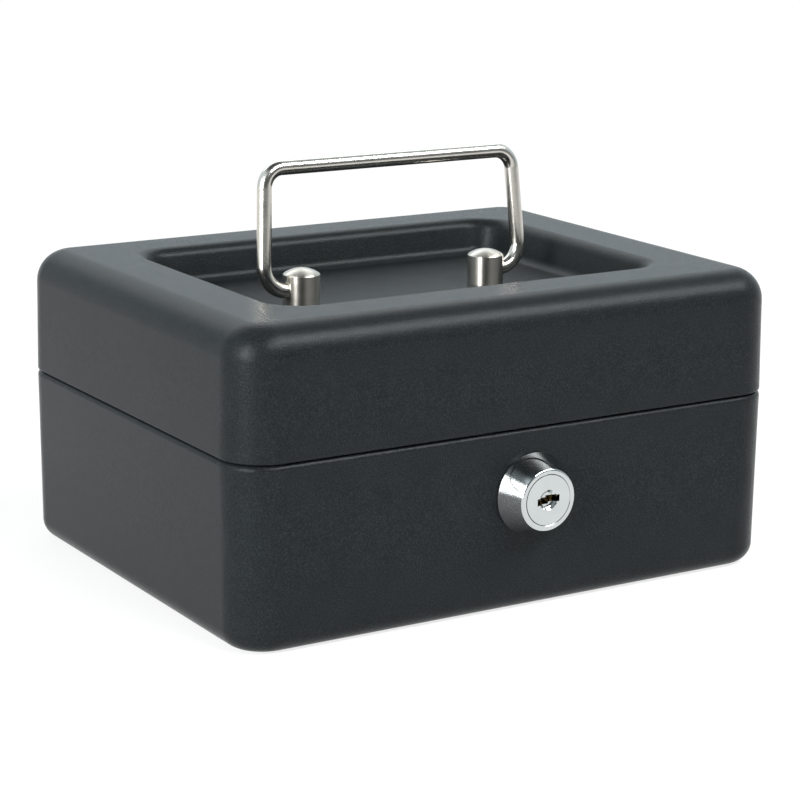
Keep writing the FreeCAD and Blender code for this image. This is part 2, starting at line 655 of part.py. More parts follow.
def all_nodes():
    nodes = {
        "base_shell": base_shell(),
        "lid_shell": lid_shell(),
        "coin_tray": coin_tray(),
        "handle_bail": handle_bail(),
        "lock_housing": lock_housing(),
        "lock_washer": lock_ring(LOCK_WASHER_DIAMETER, WASHER_FRONT, LOCK_WASHER_THICKNESS),
        "lock_nut": lock_nut(),
        "lock_plug": lock_plug(),
        "wafer_tumblers": Part.makeCompound([wafer(index) for index in range(WAFER_COUNT)]),
        "lock_cam": lock_cam(),
        "cam_washer": cam_washer(),
        "cam_screw": cam_screw(),
        "lid_catch": lid_catch(),
    }
    for name, side in (("left", -1), ("right", 1)):
        nodes["handle_post_" + name] = handle_post(side)
        nodes["post_washer_" + name] = post_washer(side)
        base_leaf, lid_leaf, pin = hinge(side * HINGE_SPACING / 2)
        nodes["hinge_base_leaf_" + name] = base_leaf
        nodes["hinge_lid_leaf_" + name] = lid_leaf
        nodes["hinge_pin_" + name] = pin
    return nodes


os.makedirs("parts", exist_ok=True)
for node_name, shape in all_nodes().items():
    shape.exportStep("parts/" + node_name + ".step")
    print(node_name, len(shape.Solids), "solid,", round(shape.Volume, 1), "mm3, valid", shape.isValid())
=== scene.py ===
# %% [markdown]
# A small steel cash box, dressed for a studio photograph.
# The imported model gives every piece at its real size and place, so this file only adds what a size
# cannot say: the grain of the powder coat, the shine of the lock, softened edges and soft light.
# Lengths are in metres, +X runs along the front to the right, +Y to the back and +Z up.

# %% Load the frame
import bmesh
import bpy
import json
import math
from mathutils import Matrix, Vector


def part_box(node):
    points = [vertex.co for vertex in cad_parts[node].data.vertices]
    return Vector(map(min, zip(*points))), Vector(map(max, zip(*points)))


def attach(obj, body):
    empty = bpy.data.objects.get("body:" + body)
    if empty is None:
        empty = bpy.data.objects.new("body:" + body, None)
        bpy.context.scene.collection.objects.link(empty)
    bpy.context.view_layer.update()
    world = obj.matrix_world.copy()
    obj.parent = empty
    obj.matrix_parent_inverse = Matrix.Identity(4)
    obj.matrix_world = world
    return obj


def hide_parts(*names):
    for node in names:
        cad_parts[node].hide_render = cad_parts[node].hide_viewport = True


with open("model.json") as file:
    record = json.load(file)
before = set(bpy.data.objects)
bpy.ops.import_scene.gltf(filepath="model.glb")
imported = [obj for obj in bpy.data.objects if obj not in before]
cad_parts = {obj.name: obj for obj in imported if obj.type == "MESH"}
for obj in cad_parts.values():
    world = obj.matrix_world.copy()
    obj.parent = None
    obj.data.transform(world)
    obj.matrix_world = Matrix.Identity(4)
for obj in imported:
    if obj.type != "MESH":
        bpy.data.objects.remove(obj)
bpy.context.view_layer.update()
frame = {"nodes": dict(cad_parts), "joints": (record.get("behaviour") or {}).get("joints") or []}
MM = 0.001

# %% [markdown]
# Shader maths. A material is a graph of nodes, and a long graph is hard to read as a list of links.
# The class below wraps one socket, so that a formula such as `0.4 + 0.1 * grain` adds its own Math
# nodes. Everything that is not plain arithmetic comes from `Finish.make`.

# %% A socket that can be used in a formula


class Value:
    """One number that varies over a surface: the output socket of a node."""

    def __init__(self, finish, socket):
        self.finish = finish
        self.socket = socket

    def math(self, operation, first, second):
        return self.finish.make("ShaderNodeMath", {"operation": operation}, {0: first, 1: second}, 0)

    def __add__(self, other):
        return self.math("ADD", self, other)

    def __radd__(self, other):
        return self.math("ADD", other, self)

    def __rsub__(self, other):
        return self.math("SUBTRACT", other, self)

    def __mul__(self, other):
        return self.math("MULTIPLY", self, other)

    def __rmul__(self, other):
        return self.math("MULTIPLY", other, self)


class Finish:
    """One material, or the world, with a method that adds any node to it."""

    def __init__(self, owner):
        self.owner = owner
        owner.use_nodes = True
        self.tree = owner.node_tree
        self.tree.nodes.clear()

    def make(self, kind, settings=None, inputs=None, output=0):
        node = self.tree.nodes.new(kind)
        for name, value in (settings or {}).items():
            if name == "stops":
                self.set_stops(node.color_ramp, value)
            else:
                setattr(node, name, value)
        for name, value in (inputs or {}).items():
            if isinstance(value, Value):
                self.tree.links.new(value.socket, node.inputs[name])
            else:
                node.inputs[name].default_value = value
        return Value(self, node.outputs[output]) if node.outputs else None

    def set_stops(self, ramp, stops):
        while len(ramp.elements) < len(stops):
            ramp.elements.new(0.5)
        for element, (position, level) in zip(ramp.elements, stops):
            element.position = position
            element.color = (level, level, level, 1.0)

    def place(self, stretch=(1.0, 1.0, 1.0)):
        """Object coordinates, stretched along each axis."""
        coords = self.make("ShaderNodeTexCoord", output="Object")
        return self.make("ShaderNodeVectorMath", {"operation": "MULTIPLY"}, {0: coords, 1: stretch})

    def noise(self, scale, detail=2.0, where=None):
        spot = where or self.place()
        return self.make("ShaderNodeTexNoise", None, {"Vector": spot, "Scale": scale, "Detail": detail})

    def ramp(self, value, *stops):
        return self.make("ShaderNodeValToRGB", {"stops": stops}, {"Fac": value})

    def fade(self, value, span, levels):
        """A level that goes from the first to the second while value crosses the span."""
        return self.make("ShaderNodeMapRange", {"clamp": True}, {
            "Value": value, "From Min": span[0], "From Max": span[1],
            "To Min": levels[0], "To Max": levels[1]})

    def blend(self, share, first, second):
        """Two colours mixed by a share that varies."""
        return self.make("ShaderNodeMix", {"data_type": "RGBA"}, {0: share, 6: first, 7: second}, 2)

    def bump(self, height, distance, strength=1.0, under=None):
        inputs = {"Height": height, "Distance": distance, "Strength": strength}
        if under is not None:
            inputs["Normal"] = under
        return self.make("ShaderNodeBump", None, inputs)

    def rays(self):
        """As 0 or 1, whether a ray is the camera's, and whether it comes off metal or through glass."""
        kinds = self.make("ShaderNodeLightPath").socket.node.outputs
        mirror = Value(self, kinds["Is Glossy Ray"]) + Value(self, kinds["Is Transmission Ray"])
        return Value(self, kinds["Is Camera Ray"]), mirror

    def shine(self, **sockets):
        """The surface itself: a Principled shader whose sockets are named with underscores."""
        inputs = {name.replace("_", " "): value for name, value in sockets.items()}
        shader = self.make("ShaderNodeBsdfPrincipled", None, inputs)
        self.make("ShaderNodeOutputMaterial", None, {"Surface": shader})
        return self.owner


def new_finish(name):
    return Finish(bpy.data.materials.new(name))


# %% [markdown]
# Powder coat. The real paint is a dry powder that is melted on the sheet. It dries with a fine
# sand-like tooth of about a third of a millimetre, and each grain throws its own small glint, so the
# colour is never one flat grey. The drawn sheet under it is also slightly wavy. Two noises make the
# tooth and the waves as bump, and a third scatters paler grains.

# %% Powder coat
COAT_DARK = (0.0064, 0.0076, 0.0081, 1.0)
COAT_PALE = (0.0195, 0.023, 0.0243, 1.0)
COAT_GLINT = (0.93, 0.99, 1.0, 1.0)
TOOTH_PER_METRE = 3000.0
WAVES_PER_METRE = 26.0
BLOTCHES_PER_METRE = 160.0


def powder_coat():
    finish = new_finish("powder_coat_finish")
    tooth = finish.noise(TOOTH_PER_METRE, 3.0)
    waves = finish.noise(WAVES_PER_METRE, 0.0)
    blotch = finish.noise(BLOTCHES_PER_METRE, 3.0)
    grains = finish.ramp(tooth, (0.46, 0.0), (0.74, 1.0))
    share = grains * 0.75 + blotch * 0.22
    wave_bump = finish.bump(waves, 0.6 * MM, 0.35)
    tooth_bump = finish.bump(tooth, 0.10 * MM, 0.8, wave_bump)
    return finish.shine(
        Base_Color=finish.blend(share, COAT_DARK, COAT_PALE),
        Roughness=0.22 - 0.06 * grains + 0.06 * blotch,
        Normal=tooth_bump,
        Specular_IOR_Level=0.08,
        Specular_Tint=COAT_GLINT,
    )


# %% [markdown]
# Bright metals. Chrome is nearly a mirror, so it needs almost nothing of its own: the studio around
# it makes its look. The handle is drawn wire with a thin nickel plate, a little warmer and softer, and
# the posts are turned on a lathe, which leaves fine rings round their axis.

# %% Chrome and nickel
SMEARS_PER_METRE = 210.0
POLISH_PER_METRE = 5200.0
HAZE_PER_METRE = 300.0
RINGS_PER_METRE = 6000.0
STAINS_PER_METRE = 420.0


def lock_chrome():
    finish = new_finish("lock_chrome_finish")
    smear = finish.noise(SMEARS_PER_METRE, 3.0)
    polish = finish.noise(POLISH_PER_METRE, 1.0)
    return finish.shine(
        Base_Color=finish.blend(smear, (0.50, 0.525, 0.525, 1.0), (0.58, 0.605, 0.605, 1.0)),
        Metallic=1.0,
        Roughness=0.06 + 0.06 * smear,
        Normal=finish.bump(polish, 0.003 * MM, 0.04),
    )


def nickel_wire():
    finish = new_finish("nickel_wire_finish")
    haze = finish.noise(HAZE_PER_METRE, 3.0)
    return finish.shine(
        Base_Color=finish.blend(haze, (0.54, 0.518, 0.468, 1.0), (0.70, 0.678, 0.63, 1.0)),
        Metallic=1.0,
        Roughness=0.16 + 0.08 * haze,
    )


def nickel_post():
    finish = new_finish("nickel_post_finish")
    rings = finish.noise(RINGS_PER_METRE, 2.0, finish.place((0.03, 0.03, 1.0)))
    stain = finish.noise(STAINS_PER_METRE, 3.0)
    return finish.shine(
        Base_Color=finish.blend(stain, (0.43, 0.405, 0.36, 1.0), (0.59, 0.565, 0.52, 1.0)),
        Metallic=1.0,
        Roughness=0.26 + 0.10 * rings,
        Anisotropic=0.75,
        Anisotropic_Rotation=0.25,
    )


# %% [markdown]
# Inside metals and the tray. Zinc plate has a faint crystal pattern, which a Voronoi texture gives
# for free. The wafers of the lock are brass. The tray is black moulded plastic with a fine grain.

# %% Zinc, brass and moulded plastic
SPANGLES_PER_METRE = 900.0
CLOUDS_PER_METRE = 240.0
TARNISH_PER_METRE = 700.0
GRAIN_PER_METRE = 1500.0
FLOW_PER_METRE = 60.0


def zinc_steel():
    finish = new_finish("zinc_steel_finish")
    spangle = finish.make("ShaderNodeTexVoronoi", None, {
        "Vector": finish.place(), "Scale": SPANGLES_PER_METRE}, "Distance")
    cloud = finish.noise(CLOUDS_PER_METRE, 3.0)
    return finish.shine(
        Base_Color=finish.blend(cloud, (0.43, 0.44, 0.46, 1.0), (0.66, 0.66, 0.65, 1.0)),
        Metallic=1.0,
        Roughness=0.28 + 0.22 * spangle,
        Normal=finish.bump(cloud, 0.02 * MM, 0.3),
    )


def wafer_brass():
    finish = new_finish("wafer_brass_finish")
    tarnish = finish.noise(TARNISH_PER_METRE, 3.0)
    return finish.shine(
        Base_Color=finish.blend(tarnish, (0.27, 0.15, 0.06, 1.0), (0.62, 0.43, 0.18, 1.0)),
        Metallic=1.0,
        Roughness=0.28 + 0.2 * tarnish,
    )


def tray_plastic():
    finish = new_finish("tray_plastic_finish")
    grain = finish.noise(GRAIN_PER_METRE, 3.0)
    flow = finish.noise(FLOW_PER_METRE, 2.0)
    return finish.shine(
        Base_Color=finish.blend(flow, (0.011, 0.011, 0.012, 1.0), (0.020, 0.020, 0.021, 1.0)),
        Roughness=0.42 + 0.18 * grain,
        Normal=finish.bump(grain, 0.05 * MM, 0.4),
        Specular_IOR_Level=0.5,
    )


FINISHES = {
    "powder_coat": powder_coat(),
    "lock_chrome": lock_chrome(),
    "nickel_wire": nickel_wire(),
    "nickel_post": nickel_post(),
    "zinc_steel": zinc_steel(),
    "wafer_brass": wafer_brass(),
    "tray_plastic": tray_plastic(),
}
print("finishes:", ", ".join(FINISHES))

# %% [markdown]
# Dressing a solid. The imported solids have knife-sharp edges, and their meshes are loose triangles.
# A real pressing or turned part has a small break on each edge that catches a thin line of light.
# So each rigid piece is copied, its triangles are joined, flat faces are made whole again, the
# sharp edges are bevelled, and weighted normals keep the flat faces flat in the shading.

# %% A dressed copy of a node
WELD = 0.002 * MM
FLAT_ANGLE = math.radians(0.4)
BEND_ANGLE = math.radians(34.0)
SLIGHT_BEND = math.radians(12.0)


def new_piece(name, mesh, body, slot):
    """A finished mesh as a piece of the object, with its finish and the body that it moves with."""
    mesh.materials.clear()
    mesh.materials.append(FINISHES[slot])
    piece = bpy.data.objects.new(name, mesh)
    bpy.context.collection.objects.link(piece)
    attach(piece, body)
    return piece


def even_normals(mesh, bend=BEND_ANGLE):
    """The mesh with smooth shading, sharp edges kept, and normals that favour the large faces."""
    for polygon in mesh.polygons:
        polygon.use_smooth = True
    mesh.set_sharp_from_angle(angle=bend)
    holder = bpy.data.objects.new("normals_holder", mesh)
    bpy.context.collection.objects.link(holder)
    modifier = holder.modifiers.new("normals", "WEIGHTED_NORMAL")
    modifier.keep_sharp = True
    evaluated = holder.evaluated_get(bpy.context.evaluated_depsgraph_get())
    result = bpy.data.meshes.new_from_object(evaluated)
    bpy.data.objects.remove(holder)
    bpy.data.meshes.remove(mesh)
    return result


def dressed(node, name, body, slot, edge=0.0):
    """A copy of a node with its triangles joined and, where edge is given, its sharp edges broken."""
    work = bmesh.new()
    work.from_mesh(frame["nodes"][node].data)
    bmesh.ops.remove_doubles(work, verts=work.verts, dist=WELD)
    if edge:
        bmesh.ops.dissolve_limit(work, angle_limit=FLAT_ANGLE, verts=work.verts, edges=work.edges)
        sharp = [e for e in work.edges if e.is_manifold and e.calc_face_angle(0.0) > BEND_ANGLE]
        bmesh.ops.bevel(work, geom=sharp, offset=edge, segments=2, profile=0.6, affect="EDGES",
                        clamp_overlap=True)
    mesh = bpy.data.meshes.new(name)
    work.to_mesh(mesh)
    work.free()
    piece = new_piece(name, even_normals(mesh, BEND_ANGLE if edge else SLIGHT_BEND), body, slot)
    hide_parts(node)
    return piece


# %% [markdown]
# The two pressings. Base and lid are drawn from one sheet each, so they have no hard edges to
# break: their roundings are in the solids already. They only need joined, smoothly shaded meshes.

# %% Base and lid
for node, name, body in (("base_shell", "base_tub", "base"), ("lid_shell", "lid_pressing", "lid")):
    piece = dressed(node, name, body, "powder_coat")
    print(name, len(piece.data.polygons), "faces")

# %% [markdown]
# Small hardware. Everything turned, stamped or moulded, except the brass wafers, gets a broken edge of
# its own size: a twentieth of a millimetre on the lock's fine parts, a quarter on the tray.

# %% Lock, posts, hinges, catch and tray
HARDWARE = [
    ("lock_washer", "lock_seat_washer", "base", "zinc_steel", 0.08),
    ("lock_nut", "lock_back_nut", "base", "zinc_steel", 0.25),
    ("wafer_tumblers", "lock_wafers", "lock_core", "wafer_brass", 0.0),
    ("lock_cam", "lock_claw", "lock_core", "zinc_steel", 0.12),
    ("cam_washer", "claw_washer", "lock_core", "zinc_steel", 0.06),
    ("cam_screw", "claw_screw", "lock_core", "zinc_steel", 0.12),
    ("lid_catch", "lid_catch_plate", "lid", "zinc_steel", 0.15),
    ("coin_tray", "coin_tray_moulding", "tray", "tray_plastic", 0.25),
]
for side in ("left", "right"):
    HARDWARE += [
        ("handle_post_" + side, "handle_stud_" + side, "lid", "nickel_post", 0.12),
        ("post_washer_" + side, "stud_washer_" + side, "lid", "zinc_steel", 0.08),
        ("hinge_base_leaf_" + side, "base_leaf_" + side, "base", "powder_coat", 0.10),
        ("hinge_lid_leaf_" + side, "lid_leaf_" + side, "lid", "powder_coat", 0.10),
        ("hinge_pin_" + side, "leaf_pin_" + side, "base", "zinc_steel", 0.15),
    ]
for node, name, body, slot, edge in HARDWARE:
    piece = dressed(node, name, body, slot, edge * MM)
    print(name, len(piece.data.polygons), "faces")

# %% [markdown]
# The nose of the lock is the brightest thing on the box, so its curve has to be clean. It is a
# turned part, and the honest way to make one is a lathe: half of the section is drawn as radius and
# depth, and spun round the axis. The barrel behind it is cut with a thread and has two flats, which
# stop it from turning in the hole of the front wall.

# %% Lock nose
LATHE_STEPS = 144
ARC_STEPS = 5
NOSE_LENGTH = 7.0 * MM
NOSE_FACE_RADIUS = 7.45 * MM
NOSE_BASE_RADIUS = 10.1 * MM
NOSE_RIM = 0.6 * MM
FACE_ROUND = 0.55 * MM
FLARE_ROUND = 0.25 * MM
PLUG_HEAD_BORE = 6.26 * MM
PLUG_HEAD_LENGTH = 3.06 * MM
PLUG_BORE = 5.56 * MM
BORE_EDGE = 0.10 * MM
BARREL_RADIUS = 8.0 * MM
HALF_FLATS = 6.9 * MM
THREAD_PITCH = 1.0 * MM
THREAD_DEPTH = 0.4 * MM


def rounded(before, corner, after, radius):
    """Points of an arc that rounds one corner of a section."""
    corner = Vector(corner)
    way_in = (corner - Vector(before)).normalized()
    way_out = (Vector(after) - corner).normalized()
    turn = way_in.angle(way_out)
    cut = radius * math.tan(turn / 2)
    centre = corner + (way_out - way_in).normalized() * (radius / math.cos(turn / 2))
    start = corner - way_in * cut - centre
    end = corner + way_out * cut - centre
    shares = [step / ARC_STEPS for step in range(ARC_STEPS + 1)]
    return [tuple(centre + start.slerp(end, share) * radius) for share in shares]


def nose_section(face, end):
    """The section of nose and barrel as (radius, Y), from the bore round the front to the back."""
    seat = face + NOSE_LENGTH
    cone_top = (NOSE_FACE_RADIUS, face)
    cone_foot = (NOSE_BASE_RADIUS, seat - NOSE_RIM)
    step = face + PLUG_HEAD_LENGTH
    section = [(PLUG_BORE, end), (PLUG_BORE, step), (PLUG_HEAD_BORE, step),
               (PLUG_HEAD_BORE, face + BORE_EDGE), (PLUG_HEAD_BORE + BORE_EDGE, face)]
    section += rounded(section[-1], cone_top, cone_foot, FACE_ROUND)
    section += rounded(cone_top, cone_foot, (NOSE_BASE_RADIUS, seat), FLARE_ROUND)
    section += [(NOSE_BASE_RADIUS, seat), (BARREL_RADIUS - THREAD_DEPTH, seat)]
    turns = int((end - seat) / THREAD_PITCH) - 1
    for turn in range(turns):
        root = seat + (turn + 1) * THREAD_PITCH
        section += [(BARREL_RADIUS - THREAD_DEPTH, root), (BARREL_RADIUS, root + THREAD_PITCH / 2)]
    return section + [(BARREL_RADIUS - THREAD_DEPTH, end)]


def lathe(section, centre_x, centre_z):
    """A closed section spun about an axis along Y, with its faces pointing outwards."""
    work = bmesh.new()
    rings = []
    for step in range(LATHE_STEPS):
        turn = 2 * math.pi * step / LATHE_STEPS
        rings.append([work.verts.new((centre_x + r * math.cos(turn), y, centre_z + r * math.sin(turn)))
                      for r, y in section])
    for ring, after in zip(rings, rings[1:] + rings[:1]):
        for index in range(len(section)):
            follow = (index + 1) % len(section)
            work.faces.new((ring[index], ring[follow], after[follow], after[index]))
    bmesh.ops.recalc_face_normals(work, faces=work.faces)
    return work


def lock_nose():
    low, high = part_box("lock_housing")
    centre_x = (low[0] + high[0]) / 2
    centre_z = (low[2] + high[2]) / 2
    work = lathe(nose_section(low[1], high[1]), centre_x, centre_z)
    for vert in work.verts:
        if vert.co.y > low[1] + NOSE_LENGTH + WELD:
            side = vert.co.x - centre_x
            vert.co.x = centre_x + max(-HALF_FLATS, min(HALF_FLATS, side))
    mesh = bpy.data.meshes.new("lock_nose")
    work.to_mesh(mesh)
    work.free()
    piece = new_piece("lock_nose", even_normals(mesh), "base", "lock_chrome")
    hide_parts("lock_housing")
    return piece


print("lock_nose", len(lock_nose().data.polygons), "faces")

# %% [markdown]
# The plug that turns inside the nose has a key slot and a shallow dish that leads the key in, so its
# face is copied from the solid. Only its outer edge is drawn finer: the gap between plug and nose is
# no more than a hairline on the real lock.

# %% Lock plug
PLUG_RADIUS = 6.2 * MM
PLUG_EDGE = 0.07 * MM
PLUG_RIM_SHARE = 0.93


def lock_core_plug():
    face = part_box("lock_plug")[0][1]
    low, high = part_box("lock_housing")
    axis = Vector(((low[0] + high[0]) / 2, 0.0, (low[2] + high[2]) / 2))
    work = bmesh.new()
    work.from_mesh(frame["nodes"]["lock_plug"].data)
    bmesh.ops.remove_doubles(work, verts=work.verts, dist=WELD)
    for vert in work.verts:
        arm = Vector((vert.co.x, 0.0, vert.co.z)) - axis
        on_face = vert.co.y < face + WELD
        if on_face and arm.length > PLUG_RIM_SHARE * PLUG_RADIUS:
            edge = axis + arm.normalized() * (PLUG_RADIUS - PLUG_EDGE)
            vert.co.x = edge.x
            vert.co.z = edge.z
    mesh = bpy.data.meshes.new("lock_core_plug")
    work.to_mesh(mesh)
    work.free()
    piece = new_piece("lock_core_plug", even_normals(mesh, SLIGHT_BEND), "lock_core", "lock_chrome")
    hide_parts("lock_plug")
    return piece


print("lock_core_plug", len(lock_core_plug().data.polygons), "faces")

# %% [markdown]
# Geometry Nodes. A tree is a small machine with named inputs: geometry goes in, geometry comes out.
# The helpers below make a tree, add nodes with the same kind of call as the shaders, and turn the
# result into a plain mesh, because instances and live modifiers would be lost later.

# %% Helpers for node trees


class Machine:
    """A Geometry Nodes tree with named inputs."""

    def __init__(self, name, sizes):
        self.tree = bpy.data.node_groups.new(name, "GeometryNodeTree")
        face = self.tree.interface
        face.new_socket("Geometry", in_out="INPUT", socket_type="NodeSocketGeometry")
        self.sizes = {}
        for label, value in sizes.items():
            kind = "NodeSocketInt" if isinstance(value, int) else "NodeSocketFloat"
            self.sizes[label] = (face.new_socket(label, in_out="INPUT", socket_type=kind), value)
        face.new_socket("Geometry", in_out="OUTPUT", socket_type="NodeSocketGeometry")
        self.entry = self.tree.nodes.new("NodeGroupInput")
        self.exit = self.tree.nodes.new("NodeGroupOutput")

    def size(self, label):
        return self.entry.outputs[label]

    def make(self, kind, settings=None, inputs=None, output=0):
        node = self.tree.nodes.new(kind)
        for name, value in (settings or {}).items():
            setattr(node, name, value)
        for name, value in (inputs or {}).items():
            if isinstance(value, bpy.types.NodeSocket):
                self.tree.links.new(value, node.inputs[name])
            else:
                node.inputs[name].default_value = value
        return node.outputs[output]

    def finish(self, geometry, slot):
        real = self.make("GeometryNodeRealizeInstances", None, {"Geometry": geometry})
        painted = self.make("GeometryNodeSetMaterial", None, {
            "Geometry": real, "Material": FINISHES[slot]})
        self.tree.links.new(painted, self.exit.inputs[0])

    def run(self, start):
        """The plain mesh that the tree makes from a starting object, which is then removed."""
        bpy.context.collection.objects.link(start)
        modifier = start.modifiers.new("machine", "NODES")
        modifier.node_group = self.tree
        for socket, value in self.sizes.values():
            modifier[socket.identifier] = value
        evaluated = start.evaluated_get(bpy.context.evaluated_depsgraph_get())
        mesh = bpy.data.meshes.new_from_object(evaluated)
        bpy.data.objects.remove(start)
        return mesh


# %% [markdown]
# The handle is one length of wire with four bends, and its ends turn in to the posts. A path with a
# round section says exactly that. Each corner of the path carries its bend radius as the point's own
# radius, the tree fillets the corners with it, and a circle runs along the result.

# %% Handle wire
WIRE_DIAMETER = 3.7 * MM
HANDLE_REACH = 30.3 * MM
HALF_FOOT_SPAN = 37.8 * MM
HALF_TOP_SPAN = 36.0 * MM
FOOT_BEND = 6.0 * MM
TOP_BEND = 5.0 * MM
HANDLE_LEAN = math.radians(5.2)
TIP_DEPTH = 3.6 * MM
fold = next(joint for joint in frame["joints"] if joint["name"] == "handle_fold")
PIVOT = Vector(fold["pos_m"])
WIRE_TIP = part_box("handle_post_right")[1][0] - TIP_DEPTH


def handle_path():
    """The corners of the wire in its own plane, as X, height and bend radius."""
    half = [(WIRE_TIP, 0.0, 0.0), (HALF_FOOT_SPAN, 0.0, FOOT_BEND),
            (HALF_TOP_SPAN, HANDLE_REACH, TOP_BEND)]
    corners = [(-x, height, bend) for x, height, bend in half] + half[::-1]
    curve = bpy.data.curves.new("handle_path", "CURVE")
    curve.dimensions = "3D"
    spline = curve.splines.new("POLY")
    spline.points.add(len(corners) - 1)
    lean = Matrix.Rotation(-HANDLE_LEAN, 3, "X")
    for point, (x, height, bend) in zip(spline.points, corners):
        point.co = (*(PIVOT + lean @ Vector((x, 0.0, height))), 1.0)
        point.radius = bend
    return bpy.data.objects.new("handle_path", curve)


def bent_wire():
    machine = Machine("bent_wire", {"Wire Radius": WIRE_DIAMETER / 2, "Bend Steps": 14, "Sides": 48})
    bend = machine.make("GeometryNodeInputRadius")
    path = machine.make("GeometryNodeFilletCurve", {"mode": "POLY"}, {
        "Curve": machine.entry.outputs[0], "Radius": bend, "Limit Radius": True,
        "Count": machine.size("Bend Steps")})
    even = machine.make("GeometryNodeSetCurveRadius", None, {"Curve": path, "Radius": 1.0})
    ring = machine.make("GeometryNodeCurvePrimitiveCircle", None, {
        "Resolution": machine.size("Sides"), "Radius": machine.size("Wire Radius")})
    wire = machine.make("GeometryNodeCurveToMesh", None, {
        "Curve": even, "Profile Curve": ring, "Fill Caps": True})
    machine.finish(wire, "nickel_wire")
    return machine.run(handle_path())


handle = new_piece("handle_wire", even_normals(bent_wire()), "handle", "nickel_wire")
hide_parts("handle_bail")
print("handle_wire", len(handle.data.polygons), "faces")

# %% [markdown]
# Spot welds. The hinge leaves are joined to the back walls without a screw: an electrode presses leaf
# and wall together, and each weld leaves a round print with a raised ring. The same print repeats on
# both leaves, so a tree lays a grid of points, puts one ring on each, and repeats the grid per leaf.

# %% Weld prints on the hinge leaves
LEAF_LENGTH = 16.0 * MM
KNUCKLE_DIAMETER = 4.4 * MM


def weld_prints(spacing, place, lean):
    machine = Machine("weld_prints", {
        "Columns": 3, "Rows": 2, "Marked Width": 17.0 * MM, "Marked Height": 7.5 * MM,
        "Print Radius": 1.5 * MM, "Ridge Radius": 0.22 * MM})
    spots = machine.make("GeometryNodeMeshGrid", None, {
        "Size X": machine.size("Marked Width"), "Size Y": machine.size("Marked Height"),
        "Vertices X": machine.size("Columns"), "Vertices Y": machine.size("Rows")})
    circle = machine.make("GeometryNodeCurvePrimitiveCircle", None, {
        "Resolution": 28, "Radius": machine.size("Print Radius")})
    ridge = machine.make("GeometryNodeCurvePrimitiveCircle", None, {
        "Resolution": 8, "Radius": machine.size("Ridge Radius")})
    ring = machine.make("GeometryNodeCurveToMesh", None, {"Curve": circle, "Profile Curve": ridge})
    leaf = machine.make("GeometryNodeInstanceOnPoints", None, {"Points": spots, "Instance": ring})
    centres = machine.make("GeometryNodeMeshLine", {"mode": "OFFSET"}, {
        "Count": 2, "Start Location": (-spacing / 2, 0.0, 0.0), "Offset": (spacing, 0.0, 0.0)})
    leaves = machine.make("GeometryNodeInstanceOnPoints", None, {"Points": centres, "Instance": leaf})
    upright = machine.make("GeometryNodeTransform", None, {
        "Geometry": leaves, "Translation": place, "Rotation": (math.pi / 2 + lean, 0.0, 0.0)})
    machine.finish(upright, "powder_coat")
    return machine.run(bpy.data.objects.new("weld_prints", bpy.data.meshes.new("weld_prints")))


def leaf_welds(name, body, node, side):
    """Prints on the inner faces of two leaves. Side is 1 for leaves that rise from the pin, else -1."""
    low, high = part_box(node)
    pin_face = high[1] - KNUCKLE_DIAMETER
    middle = high[2] - LEAF_LENGTH / 2 if side > 0 else low[2] + LEAF_LENGTH / 2
    lean = side * math.atan2(pin_face - low[1], high[2] - low[2] - KNUCKLE_DIAMETER / 2)
    place = (0.0, (pin_face + low[1]) / 2, middle)
    mesh = even_normals(weld_prints(low[0] + high[0], place, lean))
    return new_piece(name, mesh, body, "powder_coat")


for name, body, side in (("base_leaf_welds", "base", -1), ("lid_leaf_welds", "lid", 1)):
    piece = leaf_welds(name, body, "hinge_" + body + "_leaf_right", side)
    print(name, len(piece.data.polygons), "faces")

# %% [markdown]
# The studio. The photograph was lit by broad white surfaces all round, with the side of the camera
# darker. The camera sees plain white in every direction. A mirror sees the same white behind the box,
# falling off towards the camera and overhead, and the light that falls on the paint is dimmer still,
# so the background stays white without flooding the dark paint.

# %% World
PLAIN_WHITE = (1.0, 1.0, 1.0, 1.0)
WORLD_TINT = (0.85, 0.95, 1.0, 1.0)
WORLD_FILL = 0.6
WORLD_FRONT = 0.10
WORLD_BACK = 1.0
WORLD_TOP = 0.08
FRONT_FADE = (-0.9, 0.1)
CEILING_FADE = (0.78, 0.92)


def studio_world():
    world = bpy.data.worlds.new("studio")
    bpy.context.scene.world = world
    finish = Finish(world)
    camera, mirror = finish.rays()
    coords = finish.make("ShaderNodeTexCoord", output="Generated")
    parts = finish.make("ShaderNodeSeparateXYZ", None, {0: coords}).socket.node
    front = finish.fade(Value(finish, parts.outputs["Y"]), FRONT_FADE, (WORLD_FRONT, WORLD_BACK))
    ceiling = finish.fade(Value(finish, parts.outputs["Z"]), CEILING_FADE, (1.0, WORLD_TOP))
    other = 1.0 - camera
    level = camera + other * front * ceiling * (mirror + (1.0 - mirror) * WORLD_FILL)
    tint = finish.blend(camera, WORLD_TINT, PLAIN_WHITE)
    shade = finish.make("ShaderNodeBackground", None, {"Color": tint, "Strength": level})
    finish.make("ShaderNodeOutputWorld", None, {"Surface": shade})


studio_world()

# %% [markdown]
# The floor is plain white card. For the camera and for mirrors most of its brightness is its own, so
# that it melts into the white background, and near the box the rest is real shading, which keeps the
# soft shadow under it. Four lamps stand round the box. A tall one at the left lights the corner, a wide
# one high in front draws the line along the lid's front, and two weaker ones fill the left and the back.

# %% Floor and lamps
FLOOR_SIZE = 14.0
SHADOW_SHARE = 0.30
SHADOW_REACH = 0.6
CARD_WHITE = (0.86, 0.86, 0.86, 1.0)
CARD_GLOW = 1.03
LAMP_AIM = Vector((0.0, 0.0, 0.05))


